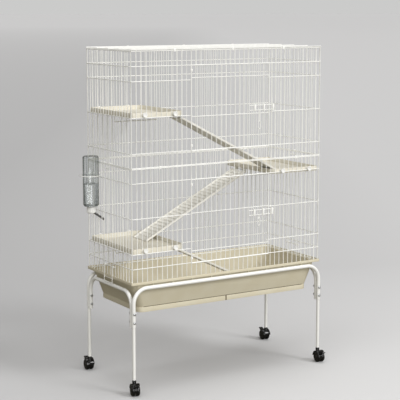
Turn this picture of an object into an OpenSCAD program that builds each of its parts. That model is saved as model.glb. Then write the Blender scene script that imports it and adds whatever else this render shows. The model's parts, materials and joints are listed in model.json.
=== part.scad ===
// Two-storey wire cage for ferrets on a wheeled tube stand.
// Millimetres. +X runs along the front from left to right, +Y to the back, +Z up.
// The origin is on the floor under the middle of everything the cage takes up.
// Inside the modules, x = 0 is the left wall, y = 0 the front wall and z = 0 the floor.

/* [Cage] */
// Width of the cage, left wall to right wall
cage_w = 900; // [760:10:1100]
// Depth of the cage, front wall to back wall
cage_d = 376; // [340:4:480]
// Height of one wire section; two are stacked
section_h = 455; // [440:5:520]
// Wanted spacing of the upright wires
wire_pitch = 22.5; // [20:0.5:26]
// Thickness of an upright wire
wire_d = 2.6; // [2.2:0.1:3]
// Thickness of a cross wire
rail_d = 3.2; // [2.8:0.1:3.6]
// How deep a welded cross wire bites into the uprights
weld = 0.3; // [0.2:0.05:0.5]
// Distance of the cross wires from a section's outer end
rail_rows = [60, 118, 258, 397];
// Number of cross wires on the roof, edges included
roof_rails = 5; // [3:1:7]

/* [Doors] */
// Width of each doorway
doorway_w = 360; // [315:45:450]
// Thickness of the door's outer wire
door_wire_d = 4; // [3.4:0.2:5]
// Distance of the door's two inner cross wires from the section's outer end
door_rows = [109, 262];
// Space between a shut door and the cross wires behind it
door_gap = 0.4; // [0.3:0.1:1]
// Play between a hinge knuckle and the wire it turns on
hinge_play = 0.08; // [0.05:0.01:0.1]
// Height of a hinge knuckle
knuckle_h = 10; // [8:1:14]

/* [Latches] */
// Thickness of the latch wire
latch_d = 3; // [2.6:0.2:3.4]
// Length of the latch
latch_len = 118; // [112:2:124]
// Height between the two latch bars
latch_h = 20; // [16:1:22]
// Distance from a door's inner cross wire to the middle of its latch
latch_off = 23; // [20:1:26]
// Length of the finger pulls: upper latch, lower latch
pull_lens = [78, 46];
// Width of the finger loop
loop_w = 14; // [12:1:18]
// Play around the latch in its guides
latch_play = 0.4; // [0.3:0.05:0.6]
// Thickness of the guide strap
strap_t = 1.6; // [1.2:0.1:2]

/* [Tray] */
// Depth of the tray below its ledge
tray_h = 122; // [90:2:140]
// Wall of the tray
tray_t = 3; // [2:0.5:4]
// How far the end walls lean in
tray_taper_x = 30; // [15:1:35]
// How far the front and back walls lean in
tray_taper_y = 20; // [10:1:30]
// Height of the straight foot below the leaning walls
tray_foot = 23; // [14:1:30]
// How far the lip stands above the ledge
lip_up = 8; // [5:1:12]
// Height of the ribs that carry the ledge on the tubes
rib_h = 5.8; // [4.8:0.2:8]

/* [Stand] */
// Outer diameter of the frame tube
tube_d = 16; // [14:1:19]
// Wall of the tubes
tube_wall = 1.15; // [1:0.05:1.5]
// Height of the front and back rails' centre line above the floor
rail_z = 424; // [400:2:460]
// How far the side tubes' rails lie lower
side_drop = 16; // [0:1:20]
// Bend radius of the tube's centre line
bend_r = 60; // [45:1:70]
// Height of the lower ends of the frame tubes
frame_foot_z = 273; // [262:1:280]
// Play between a leg and the frame tube around it
leg_play = 0.1; // [0.05:0.05:0.2]
// Height of the leg's lower end
leg_foot_z = 60; // [60:1:66]
// Heights of the two bolts at each corner
bolt_rows = [291, 326];
// Diameter of the bolts
bolt_d = 6; // [5:0.5:6]

/* [Casters] */
// Wheel diameter
wheel_d = 46; // [42:1:46]
// Width over both wheels
caster_w = 34; // [30:1:38]
// Distance of the axle from the swivel axis
trail = 14; // [12:1:15]
// Diameter of the axle
axle_d = 6; // [5:0.5:7]
// Diameter of the swivel stem
stem_d = 8; // [7:0.5:8]
// Play of the axle and the stem in their bores
turn_play = 0.06; // [0.03:0.01:0.1]
// Which way each caster points: front left, front right, back left, back right
caster_turns = [254, 265, 84, 85];

/* [Platforms and ramps] */
// Width of a platform
platform_w = 235; // [200:5:260]
// Height of a platform's rim
platform_h = 20; // [16:1:26]
// Corner radius of a platform at the wall
corner_out = 9; // [5:1:14]
// Corner radius of a platform towards the middle of the cage
corner_in = 34; // [14:1:36]
// Heights of the platforms: upper left, right, lower left
platform_rows = [1092, 831, 560];
// Width of a ramp
ramp_w = 107; // [90:1:112]
// How far in each ramp lands: on the right platform, on the lower left platform, in the tray
ramp_lands = [47, 67, 158];
// Front edge of each ramp
ramp_fronts = [15, 195, 42];
// Spacing of the ramp's treads
tread_pitch = 20; // [16:1:26]

/* [Water bottle] */
// Diameter of the bottle
bottle_d = 65; // [56:1:66]
// Height of the bottle's body
bottle_h = 205; // [160:5:230]
// Height of the bottle's top end
bottle_top = 924; // [910:2:940]
// Distance of the bottle from the back wall
bottle_in = 108; // [60:1:140]
// Diameter of the spout
spout_d = 9; // [8:0.5:10]

/* [Hidden] */
$fn = 48;

// Gap left between pieces that only sit beside each other
sit = 0.2;

// Upright wires: even spacings near the wanted one
gaps_x = round(cage_w / wire_pitch);
pitch_x = cage_w / gaps_x;
side_in = 4;
side_over = 1;
gaps_y = floor(cage_d / wire_pitch);
pitch_y = (cage_d - 2 * side_in) / gaps_y;
function gap_x(x) = (floor(x / pitch_x) + 0.5) * pitch_x;
function gap_y(y) = side_in + (floor((y - side_in) / pitch_y) + 0.5) * pitch_y;

// Heights, from the stand up
rail_top = rail_z + tube_d / 2;
ledge_z = rail_top + sit + rib_h + tray_t;
wall_z0 = ledge_z + sit;
seam_gap = 0.8;
wall_z1 = wall_z0 + 2 * section_h;
function outer_z(upper, row) = upper ? wall_z1 - row : wall_z0 + row;
seam_row = section_h - seam_gap / 2;

// Faces of a wall, outwards from the middle of its uprights
up_face = wire_d / 2;
rail_y = up_face + rail_d / 2 - weld;
rail_face = rail_y + rail_d / 2;
rail_peak = rail_d / 2 / cos(30);

// Doors
door_i0 = round((cage_w - doorway_w) / 2 / pitch_x);
door_i1 = gaps_x - door_i0;
door_x0 = door_i0 * pitch_x;
door_x1 = door_i1 * pitch_x;
door_over = 5.5;
door_up_y = -(rail_face + door_gap + wire_d / 2);
hinge_x = door_x0 - door_over;
hinge_y = door_up_y - wire_d / 2 - door_wire_d / 2 + weld;
door_rail_y = door_up_y - wire_d / 2 - rail_d / 2 + weld;
door_face = -hinge_y + door_wire_d / 2;
knuckle_t = 1.6;
knuckle_in = 15;

// Latches
latch_x1 = door_x1 + 24;
latch_x0 = latch_x1 - latch_len;
latch_y = -(door_face + 0.5 + latch_d / 2);
loop_h = 34;
guide_w = 7;
guide_xs = [door_x1 - 3 * pitch_x, door_x1 - pitch_x];
pull_x = guide_xs[0] + 23.5;
catch_x = door_x1 + pitch_x;
strap_in_z = latch_h / 2 + latch_d / 2 + latch_play;
strap_in_y = -latch_y + latch_d / 2 + latch_play;

// Stand
tube_r = tube_d / 2;
leg_r = tube_r - tube_wall - leg_play;
leg_top_z = rail_z - bend_r - 14;
leg_ys = [-tube_r, cage_d + tube_r];
side_ys = [tube_r, cage_d - tube_r];
bolt_play = 0.2;
head_h = 4;
nut_h = 4.5;
nut_af = 10;
nut_play = 0.06;
thread_out = 1;
cap_t = 3;
cap_plug = 8;
plug_t = 1.6;
plug_len = 24;

// Casters, about the swivel axis with the trail along x
wheel_r = wheel_d / 2;
web_t = 6;
wheel_gap = 8;
hood_in = wheel_r + 1.2;
hood_r = hood_in + 2.4;
hood_a0 = 60;
hood_a1 = 175;
boss_r = stem_d / 2 + 4;
boss_z = 57;
stem_z = 47;
stem_top = leg_foot_z + plug_len + 1;
lever_r = 3;
lever_w = 16;
lever_len = 17;
lever_a = 42;
lever_x = trail + (hood_r + 0.9) * cos(lever_a);
lever_z = wheel_r + (hood_r + 0.9) * sin(lever_a);
lever_tip = lever_x + lever_len;
lever_pin_r = 1.25;
leg_plan = [for (y = leg_ys) for (x = [0, cage_w]) [x, y]];

// What a caster covers on the floor: corners of hood, wheels and brake lever
plan_corners = [for (s = [-1, 1]) for (p = [[trail + hood_r * cos(hood_a1), caster_w / 2],
  [trail + wheel_r, caster_w / 2], [lever_tip, lever_w / 2]]) [p[0], s * p[1]]];
function turned(p, a) = [p[0] * cos(a) - p[1] * sin(a), p[0] * sin(a) + p[1] * cos(a)];
caster_pts = [for (i = [0:3]) for (p = plan_corners) leg_plan[i] + turned(p, caster_turns[i])];

// Tray
lip_clear = 0.7;
lip_t = 2.1;
lip_out = rail_face + lip_clear + lip_t;
lip_r_out = lip_out;
tray_in_x = tube_r + 1;
tray_in_y = 3;
tray_z0 = ledge_z - tray_h;
crease_z = tray_z0 + tray_foot;
tray_r = 26;
foot_step = 1;
groove_in = tray_t / 2;
groove_h = 3;
tray_floor_x1 = cage_w - tray_in_x - tray_taper_x - foot_step - tray_t;

// Platforms and ramps
platform_t = 3;
platform_side = 5;
platform_front = up_face + 0.7;
platform_d = cage_d - platform_front - 10;
platform_xs = [platform_side, cage_w - platform_side - platform_w, platform_side];
knob_d = 19;
knob_t = 7;
knob_drop = 8;
shank_d = 5;
knob_in = 49;
rod_d = 4;
rod_in = 4;
rod_drop = 6;
rod_play = 0.1;
lug_t = 4;
lug_r = 4;
lug_in = 30;
ramp_t = 3;
ramp_drop = 3;
curb_h = 4.5;
curb_w = 5;
tread_h = 2.5;
tread_w = 6;
ramp_start = 6;
hook_w = 12;
hook_in = 6;
rod_end = curb_w + hook_in - 2;
hook_r = rod_d / 2 + rod_play + 2.7;
bracket_d = 4;
bracket_drop = 27;
bracket_in = 20;
ramp_dirs = [1, -1, 1];
ramp_floors = [platform_rows[1] + platform_t, platform_rows[2] + platform_t, tray_z0 + tray_t];
function rod_x(i) = i == 1 ? platform_xs[1] + rod_in : platform_xs[i] + platform_w - rod_in;
function rod_z(i) = platform_rows[i] - rod_drop;

// A ramp runs from its rod to where its lower edge lands, just above the floor there
ramp_ends = [platform_xs[1] + ramp_lands[0], platform_xs[2] + platform_w - ramp_lands[1],
  tray_floor_x1 - ramp_lands[2]];
ramp_up = 0.3;
ramp_below = ramp_drop + ramp_t;
function ramp_run(i) = abs(ramp_ends[i] - rod_x(i));
function ramp_fall(i) = rod_z(i) - ramp_floors[i] - ramp_up;
function ramp_len(i) = sqrt(pow(ramp_run(i), 2) + pow(ramp_fall(i), 2) - pow(ramp_below, 2));
function ramp_slope(i) = atan2(ramp_fall(i), ramp_run(i)) - atan2(ramp_below, ramp_len(i));

// Water bottle, hung on the left wall
bottle_y = gap_y(cage_d - bottle_in);
bottle_wall = 1.5;
bottle_z0 = bottle_top - bottle_h;
neck_r = 14;
neck_z = bottle_z0 - 12;
cap_r = neck_r + 3.5;
cap_z = neck_z - 15;
cap_floor = neck_z - 1;
spout_a = 35.5;
spout_r = spout_d / 2;
spout_bore = spout_r - 1.1;
spout_len = 68;
lip_r = spout_bore - 0.7;
ball_r = spout_bore - 0.2;
holder_d = 3;
holder_r = bottle_d / 2 + 7.5;
holder_x = -(rail_face + 3.3 + holder_r);
bottle_x = holder_x + holder_r - (holder_d + bottle_d) / 2 - 0.5;
holder_z = bottle_top - 79;

// Bent wires that hook over the seam's cross wire
clip_gap = 0.4;
seam_z = wall_z0 + section_h;
stay_d = holder_d - 0.3;
stay_x = -(rail_face + clip_gap + holder_d / 2);
stay_y = 20;
stay_in_x = -(rail_y - rail_d / 2) + stay_d / 2 + 0.1;
stay_top = seam_z + seam_gap / 2 + 2 * rail_peak + stay_d / 2 + 0.05;
stay_end = 9;
seam_loop_h = 17;

// Sheet clips
clip_t = 1.4;
clip_w = 10;

// Roof
roof_wire_z = wall_z1 + sit + wire_d / 2;
roof_rail_z = roof_wire_z + wire_d / 2 + rail_d / 2 - weld;

// Tray clips
clip_d = 2.5;
clip_pivot_d = 3.2;
clip_z = ledge_z + 44;
clip_x = -(up_face + clip_pivot_d / 2);
clip_ys = [gap_y(cage_d / 2 - 36), cage_d - gap_y(cage_d / 2 - 36)];
clip_out = -(lip_out + clip_d / 2 + 1.4);
clip_hook_x = -(lip_out - clip_d / 2 + 0.4);
clip_hook_z = ledge_z - tray_t - clip_d / 2 - 0.8;
clip_tail_z = ledge_z - 21;
clip_bore = clip_pivot_d / 2 + 0.1;
eye_t = 2.4;
eye_w = 3;

// Middle of the covered floor
x_lo = min(holder_x - holder_r - holder_d / 2, min([for (p = caster_pts) p[0]]));
x_hi = max(cage_w + lip_out, cage_w - clip_out + clip_d / 2, max([for (p = caster_pts) p[0]]));
y_lo = min([for (p = caster_pts) p[1]]);
y_hi = max([for (p = caster_pts) p[1]]);
centre = [(x_lo + x_hi) / 2, (y_lo + y_hi) / 2, 0];

white_steel = "white";
ivory = [0.93, 0.90, 0.82];
tray_beige = [0.80, 0.75, 0.62];

// ---------- shared shapes ----------

module placed() {
  translate(-centre) children();
}

// Six-sided wire of thickness d between two flats that face front and back
module bar(d, h) {
  cylinder(d = d / cos(30), h = h, $fn = 6);
}

// Cross wire at height z from u0 to u1
module cross(d, u0, u1, y, z) {
  translate([u0, y, z]) rotate([0, 90, 0]) bar(d, u1 - u0);
}

// Round wire from point a to point b
module rod(d, a, b) {
  v = b - a;
  l = norm(v);
  translate(a) rotate([0, acos(v[2] / l), atan2(v[1], v[0])]) cylinder(d = d, h = l);
}

// Round wire through a list of points, with round elbows
module bent_rod(d, pts) {
  for (i = [1:len(pts) - 1]) rod(d, pts[i - 1], pts[i]);
  if (len(pts) > 2) for (i = [1:len(pts) - 2]) translate(pts[i]) sphere(d = d);
}

// Outline of the cage's plan grown by out_x and out_y, with round corners
module plan(out_x, out_y, r) {
  w = cage_w + 2 * out_x;
  d = cage_d + 2 * out_y;
  translate([-out_x, -out_y]) union() {
    translate([r, 0]) square([w - 2 * r, d]);
    translate([0, r]) square([w, d - 2 * r]);
    for (x = [r, w - r]) for (y = [r, d - r]) translate([x, y]) circle(r = r);
  }
}

// Mirror image on the right half
module right_side() {
  translate([cage_w, 0, 0]) mirror([1, 0, 0]) children();
}

// Mirror image on the back half
module back_side() {
  translate([0, cage_d, 0]) mirror([0, 1, 0]) children();
}

// ---------- stand ----------

// One round pass of a U frame: posts at u = 0 and u = span, rail on top, in the XZ plane
module u_pass(span, top, r, foot) {
  for (u = [0, span]) translate([u, 0, foot]) cylinder(r = r, h = top - bend_r - foot);
  translate([bend_r, 0, top]) rotate([0, 90, 0]) cylinder(r = r, h = span - 2 * bend_r);
  for (m = [0, 1]) translate([m * span, 0, 0]) mirror([m, 0, 0])
    translate([bend_r, 0, top - bend_r]) rotate([90, 0, 0]) rotate([0, 0, 90])
      rotate_extrude(angle = 90) translate([bend_r, 0]) circle(r = r);
}

module u_tube(span, top) {
  difference() {
    u_pass(span, top, tube_r, frame_foot_z);
    u_pass(span, top, tube_r - tube_wall, frame_foot_z - 1);
  }
}

// Bolt holes along y through the posts at the given places
module bolt_holes(xs, y0, y1) {
  for (x = xs) for (z = bolt_rows)
    translate([x, y0, z]) rotate([-90, 0, 0]) cylinder(d = bolt_d + bolt_play, h = y1 - y0);
}

module cross_frame(y) {
  color(white_steel) difference() {
    translate([0, y, 0]) u_tube(cage_w, rail_z);
    bolt_holes([0, cage_w], y - tube_d, y + tube_d);
  }
}

module side_frame(x) {
  color(white_steel) difference() {
    translate([x, side_ys[0], 0]) rotate([0, 0, 90]) u_tube(side_ys[1] - side_ys[0], rail_z - side_drop);
    bolt_holes([x], -1, cage_d + 1);
  }
}

module front_frame_tube() { cross_frame(leg_ys[0]); }
module back_frame_tube() { cross_frame(leg_ys[1]); }
module left_frame_tube() { side_frame(0); }
module right_frame_tube() { side_frame(cage_w); }

module legs() {
  color(white_steel) for (p = leg_plan) difference() {
    translate([p[0], p[1], leg_foot_z]) cylinder(r = leg_r, h = leg_top_z - leg_foot_z);
    translate([p[0], p[1], leg_foot_z - 1])
      cylinder(r = leg_r - tube_wall, h = leg_top_z - leg_foot_z + 2);
    bolt_holes([p[0]], p[1] - tube_d, p[1] + tube_d);
  }
}

// Bolts run from outside the leg through both posts
module at_corner_bolts() {
  for (x = [0, cage_w]) for (z = bolt_rows) {
    translate([x, -tube_d, z]) rotate([-90, 0, 0]) children();
    translate([x, cage_d + tube_d, z]) rotate([90, 0, 0]) children();
  }
}

module frame_bolts() {
  color("silver") at_corner_bolts() {
    translate([0, 0, -head_h]) rotate_extrude() intersection() {
      square([bolt_d, head_h]);
      translate([0, bolt_d + head_h / 4]) circle(r = bolt_d + head_h / 4);
    }
    cylinder(d = bolt_d, h = 2 * tube_d + nut_h + thread_out);
  }
}

module frame_nuts() {
  color("silver") at_corner_bolts() translate([0, 0, 2 * tube_d]) difference() {
    cylinder(d = nut_af / cos(30), h = nut_h, $fn = 6);
    translate([0, 0, -1]) cylinder(d = bolt_d + 2 * nut_play, h = nut_h + 2);
  }
}

module tube_end_caps() {
  color("white") for (x = [0, cage_w]) for (y = side_ys) translate([x, y, frame_foot_z]) {
    translate([0, 0, -cap_t]) cylinder(r = tube_r, h = cap_t);
    cylinder(r = tube_r - tube_wall - leg_play, h = cap_plug);
  }
}

module leg_plugs() {
  color([0.15, 0.15, 0.16]) for (p = leg_plan) translate([p[0], p[1], leg_foot_z]) difference() {
    union() {
      translate([0, 0, -plug_t]) cylinder(r = leg_r, h = plug_t);
      cylinder(r = leg_r - tube_wall - leg_play, h = plug_len);
    }
    translate([0, 0, -plug_t - 1]) cylinder(d = stem_d + 2 * turn_play, h = plug_len + plug_t + 2);
  }
}

// ---------- casters ----------

module at_caster(i) {
  translate([leg_plan[i][0], leg_plan[i][1], 0]) rotate([0, 0, caster_turns[i]]) children();
}

module caster_stems() {
  color("silver") for (p = leg_plan) translate([p[0], p[1], stem_z])
    cylinder(d = stem_d, h = stem_top - stem_z);
}

// Ring sector between two angles about the axle
module sector(r0, r1, a0, a1) {
  n = 6;
  intersection() {
    difference() {
      circle(r = r1, $fn = 96);
      circle(r = r0, $fn = 96);
    }
    polygon(concat([[0, 0]], [for (k = [0:n]) turned([2 * r1, 0], a0 + (a1 - a0) * k / n)]));
  }
}

// Side view drawn about the axle, made w wide
module across_axle(w) {
  translate([trail, w / 2, wheel_r]) rotate([90, 0, 0]) linear_extrude(w) children();
}

module caster_fork(i) {
  color([0.08, 0.08, 0.09]) at_caster(i) difference() {
    union() {
      across_axle(caster_w) sector(hood_in, hood_r, hood_a0, hood_a1);
      across_axle(web_t) {
        intersection() {
          circle(r = wheel_r - 1, $fn = 96);
          translate([-wheel_r, -9]) square([2 * wheel_r, 2 * wheel_r]);
        }
        sector(wheel_r - 3, hood_r, hood_a0, hood_a1);
      }
      difference() {
        translate([0, 0, wheel_r + 10]) cylinder(r = boss_r, h = boss_z - wheel_r - 10);
        across_axle(caster_w) circle(r = hood_in, $fn = 96);
      }
      for (s = [-1, 1]) translate([0, s * (lever_w / 2 + 1.55), 0]) across_axle(2.5) {
        sector(hood_in, hood_r, lever_a - 4, hood_a0 + 2);
        translate([lever_x - trail, lever_z - wheel_r]) circle(r = lever_r);
      }
    }
    across_axle(caster_w) circle(d = axle_d + 2 * turn_play);
    translate([0, 0, stem_z - 0.5]) cylinder(d = stem_d + 2 * turn_play, h = boss_z);
    translate([lever_x, lever_w, lever_z]) rotate([90, 0, 0])
      cylinder(r = lever_pin_r + turn_play, h = 2 * lever_w);
  }
}

// Two wheels on one axle, drawn as one turned shape
module caster_wheels(i) {
  w = caster_w / 2;
  g = wheel_gap / 2;
  half = [[0, 0], [axle_d / 2, 0], [axle_d / 2, g], [wheel_r - 1, g], [wheel_r, g + 2],
    [wheel_r, w - 4.5], [wheel_r - 2, w - 1.5], [wheel_r - 5, w], [wheel_r - 7, w],
    [wheel_r - 8, w - 1.5], [7, w - 1.5], [6, w], [0, w]];
  color([0.05, 0.05, 0.05]) at_caster(i) translate([trail, 0, wheel_r]) rotate([90, 0, 0])
    for (m = [0, 1]) mirror([0, 0, m]) rotate_extrude($fn = 96) polygon(half);
}

module caster_brake(i) {
  color([0.10, 0.10, 0.11]) at_caster(i) {
    translate([lever_x, lever_w / 2, lever_z]) rotate([90, 0, 0]) cylinder(r = lever_r - 0.2, h = lever_w);
    translate([lever_x, lever_w / 2 + 2.6, lever_z]) rotate([90, 0, 0])
      cylinder(r = lever_pin_r, h = lever_w + 5.2);
    translate([lever_x, lever_w / 2, lever_z]) rotate([90, 0, 0]) linear_extrude(lever_w)
      polygon([[-1, 0], [-1, lever_r - 0.3], [lever_len - 3, 8], [lever_len, 7], [lever_len, 4.5],
        [1, -lever_r + 0.4]]);
  }
}

// ---------- tray ----------

// Level slice of the tray's body; lean is 0 at the ledge and 1 at the lower end of the leaning walls
module tray_slice(lean, inset, z, h) {
  translate([0, 0, z]) linear_extrude(h)
    plan(-tray_in_x - lean * tray_taper_x - inset, -tray_in_y - lean * tray_taper_y - inset, tray_r);
}

// Leaning walls over a straight foot; the hollow is the same shape set in by the wall
module tray_body(wall, top_z) {
  band = 2;
  knee_z = crease_z + wall;
  floor_z = tray_z0 + wall;
  hull() {
    tray_slice(0, wall, top_z - band, band);
    tray_slice(1, wall, knee_z, band);
  }
  tray_slice(1, foot_step + wall, floor_z, knee_z + band / 2 - floor_z);
}

// Groove round the foot, just below the leaning walls
module tray_groove() {
  difference() {
    tray_slice(1, -1, crease_z - groove_h, groove_h);
    tray_slice(1, foot_step + groove_in, crease_z - groove_h - 1, groove_h + 2);
  }
}

module tray() {
  rib_t = 3;
  rib_out = lip_out - 1;
  rib_in = tray_t + 0.2;
  rib_z = rail_top + sit;
  mark_w = 6;
  mark_t = 0.5;
  foot_y = tray_in_y + tray_taper_y + foot_step;
  color(tray_beige) difference() {
    union() {
      tray_body(0, ledge_z);
      translate([0, 0, ledge_z - tray_t]) linear_extrude(tray_t) plan(lip_out, lip_out, lip_r_out);
      translate([0, 0, ledge_z - tray_t]) linear_extrude(tray_t + lip_up) difference() {
        plan(lip_out, lip_out, lip_r_out);
        plan(lip_out - lip_t, lip_out - lip_t, lip_r_out - lip_t);
      }
      for (k = [1:9]) for (y = [-rib_out, cage_d - tray_in_y - rib_in])
        translate([cage_w * k / 10 - rib_t / 2, y, rib_z])
          cube([rib_t, rib_out + tray_in_y + rib_in, rib_h + 1]);
    }
    tray_body(tray_t, ledge_z + 1);
    tray_groove();
    for (y = [foot_y - 1, cage_d - foot_y - mark_t]) translate([cage_w / 2 - mark_w / 2, y, tray_z0 - 1])
      cube([mark_w, 1 + mark_t, tray_foot + 0.5]);
  }
}

// ---------- wire walls ----------

// Welded grille in the XZ plane; its cross wires are on the -y side
module grille(us, z0, z1, rows, u0, u1) {
  for (u = us) translate([u, 0, z0]) bar(wire_d, z1 - z0);
  for (z = rows) cross(rail_d, u0, u1, -rail_y, z);
}

function section_rows(upper) = [for (r = concat([rail_peak], rail_rows, [seam_row - rail_peak]))
  outer_z(upper, r)];
function section_z0(upper) = upper ? wall_z1 - seam_row : wall_z0;
function section_z1(upper) = upper ? wall_z1 : wall_z0 + seam_row;

// Front wall: the doorway is cut between two uprights and two rails
module front_panel(upper) {
  rows = section_rows(upper);
  hole_lo = min(rows[1], rows[4]);
  hole_hi = max(rows[1], rows[4]);
  color(white_steel) difference() {
    grille([for (i = [0:gaps_x]) i * pitch_x], section_z0(upper), section_z1(upper), rows,
      -up_face, cage_w + up_face);
    translate([door_x0 + wire_d / 2, -10, hole_lo + rail_d / 2])
      cube([door_x1 - door_x0 - wire_d, 20, hole_hi - hole_lo - rail_d]);
  }
}

module back_panel(upper) {
  color(white_steel) back_side() grille([for (i = [0:gaps_x]) i * pitch_x], section_z0(upper),
    section_z1(upper), section_rows(upper), -up_face, cage_w + up_face);
}

module left_panel(upper) {
  color(white_steel) rotate([0, 0, -90]) translate([-cage_d, 0, 0])
    grille([for (i = [0:gaps_y]) side_in + i * pitch_y], section_z0(upper), section_z1(upper),
      section_rows(upper), side_in - up_face - side_over, cage_d - side_in + up_face + side_over);
}

module lower_front_panel() { front_panel(false); }
module upper_front_panel() { front_panel(true); }
module lower_back_panel() { back_panel(false); }
module upper_back_panel() { back_panel(true); }
module lower_left_panel() { left_panel(false); }
module upper_left_panel() { left_panel(true); }
module lower_right_panel() { right_side() left_panel(false); }
module upper_right_panel() { right_side() left_panel(true); }

module roof_panel() {
  ys = [for (k = [0:roof_rails - 1]) -rail_y + (cage_d + 2 * rail_y) * k / (roof_rails - 1)];
  color(white_steel) {
    for (i = [0:gaps_x]) translate([i * pitch_x, -rail_face, roof_wire_z])
      rotate([-90, 0, 0]) rotate([0, 0, 30]) bar(wire_d, cage_d + 2 * rail_face);
    for (y = ys) translate([-up_face, y, roof_rail_z]) rotate([0, 90, 0]) rotate([0, 0, 30])
      bar(rail_d, cage_w + 2 * up_face);
  }
}

// ---------- doors and latches ----------

function door_lo(upper) = min(outer_z(upper, rail_rows[0]), outer_z(upper, rail_rows[3]));
function door_hi(upper) = max(outer_z(upper, rail_rows[0]), outer_z(upper, rail_rows[3]));
function latch_z(upper) = outer_z(upper, door_rows[1]) + (upper ? latch_off : -latch_off);

module door(upper) {
  z0 = door_lo(upper);
  z1 = door_hi(upper);
  x1 = door_x1 + door_over;
  color(white_steel) {
    translate([hinge_x, hinge_y, z0 - door_wire_d / 2]) cylinder(d = door_wire_d, h = z1 - z0 + door_wire_d);
    translate([x1, hinge_y, z0 - door_wire_d / 2]) bar(door_wire_d, z1 - z0 + door_wire_d);
    for (z = [z0, z1]) cross(door_wire_d, hinge_x, x1, hinge_y, z);
    for (r = door_rows) cross(rail_d, hinge_x, x1, door_rail_y, outer_z(upper, r));
    for (i = [door_i0 + 1:door_i1 - 1]) translate([i * pitch_x, door_up_y, z0]) bar(wire_d, z1 - z0);
  }
}

// Knuckles welded to the doorway's left upright, around the door's left wire
module door_hinges(upper) {
  r = door_wire_d / 2 + hinge_play;
  color(white_steel) for (z = [door_lo(upper) + knuckle_in, door_hi(upper) - knuckle_in - knuckle_h])
    translate([0, 0, z]) difference() {
      union() {
        translate([hinge_x, hinge_y, 0]) cylinder(r = r + knuckle_t, h = knuckle_h);
        translate([hinge_x + r, hinge_y, 0]) cube([door_x0 + 1 - hinge_x - r, -up_face - hinge_y, knuckle_h]);
      }
      translate([hinge_x, hinge_y, -1]) cylinder(r = r, h = knuckle_h + 2);
    }
}

// Sliding bolt: two bars joined at both ends, with a finger pull hung from the lower one
module latch(upper) {
  z = latch_z(upper);
  h = latch_h / 2;
  pull = pull_lens[upper ? 0 : 1];
  loop_z = z - h - pull + loop_w / 2;
  color(white_steel) {
    bent_rod(latch_d, [[pull_x, latch_y, z - h], [latch_x0, latch_y, z - h], [latch_x0, latch_y, z + h],
      [latch_x1, latch_y, z + h], [latch_x1, latch_y, z - h], [pull_x, latch_y, z - h]]);
    rod(latch_d, [pull_x, latch_y, z - h], [pull_x, latch_y, loop_z + loop_h - (loop_w + latch_d) / 2]);
    for (s = [-1, 1]) translate([pull_x + s * (loop_w - latch_d) / 2, latch_y, loop_z])
      cylinder(d = latch_d, h = loop_h - loop_w);
    for (k = [0, 1]) translate([pull_x, latch_y, loop_z + k * (loop_h - loop_w)]) rotate([90, 0, 0])
      rotate([0, 0, k * 180 + 180]) rotate_extrude(angle = 180) translate([(loop_w - latch_d) / 2, 0])
        circle(d = latch_d);
  }
}

// Strap bent round the latch bars, its two legs welded at depth y_foot
module latch_strap(x, z, y_foot) {
  for (z0 = [z - strap_in_z - strap_t, z + strap_in_z])
    translate([x - guide_w / 2, -strap_in_y - strap_t, z0])
      cube([guide_w, strap_in_y + strap_t - y_foot, strap_t]);
  translate([x - guide_w / 2, -strap_in_y - strap_t, z - strap_in_z - strap_t])
    cube([guide_w, strap_t, 2 * (strap_in_z + strap_t)]);
}

module latch_guides(upper) {
  color(white_steel) for (x = guide_xs) latch_strap(x, latch_z(upper), -door_up_y + wire_d / 2);
}

module latch_catches() {
  color(white_steel) for (upper = [true, false]) latch_strap(catch_x, latch_z(upper), up_face);
}

// ---------- clips ----------

// Sheet clip over two stacked cross wires of the front wall, from z0 to z1
module wall_clip(u, z0, z1) {
  y = rail_face + clip_gap;
  translate([u - clip_w / 2, -y - clip_t, z0]) cube([clip_w, clip_t, z1 - z0]);
  for (z = [z0, z1 - clip_t]) translate([u - clip_w / 2, -y - clip_t, z])
    cube([clip_w, y + clip_t - up_face - clip_gap, clip_t]);
}

// Bent wire on the left wall that hooks over the seam twice, two gaps apart
module seam_loop() {
  y0 = gap_y(cage_d / 2 - pitch_y / 2);
  y1 = y0 + 2 * pitch_y;
  low = seam_z - seam_loop_h;
  bent_rod(stay_d, [[stay_in_x, y0, stay_top - stay_end], [stay_in_x, y0, stay_top], [stay_x, y0, stay_top],
    [stay_x, y0, low], [stay_x, y1, low], [stay_x, y1, stay_top], [stay_in_x, y1, stay_top],
    [stay_in_x, y1, stay_top - stay_end]]);
}

module panel_clips() {
  lip = 2 * rail_peak + clip_gap + clip_t;
  seam = [seam_z - seam_gap / 2 - lip, seam_z + seam_gap / 2 + lip];
  top = [wall_z1 - lip, roof_rail_z + rail_d / 2 + clip_gap + clip_t];
  seam_xs = [gap_x(0.13 * cage_w), cage_w - gap_x(0.13 * cage_w)];
  top_xs = [gap_x(0.2 * cage_w), gap_x(0.51 * cage_w), cage_w - gap_x(0.2 * cage_w)];
  color(white_steel) {
    for (x = seam_xs) wall_clip(x, seam[0], seam[1]);
    back_side() for (x = seam_xs) wall_clip(x, seam[0], seam[1]);
    for (x = top_xs) wall_clip(x, top[0], top[1]);
    back_side() for (x = top_xs) wall_clip(x, top[0], top[1]);
    seam_loop();
    right_side() seam_loop();
  }
}

module tray_clip_pivots() {
  color(white_steel) for (m = [0, 1]) translate([m * cage_w, 0, 0]) mirror([m, 0, 0])
    translate([clip_x, clip_ys[0] - 16, clip_z]) rotate([-90, 0, 0])
      cylinder(d = clip_pivot_d, h = clip_ys[1] - clip_ys[0] + 32);
}

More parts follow.
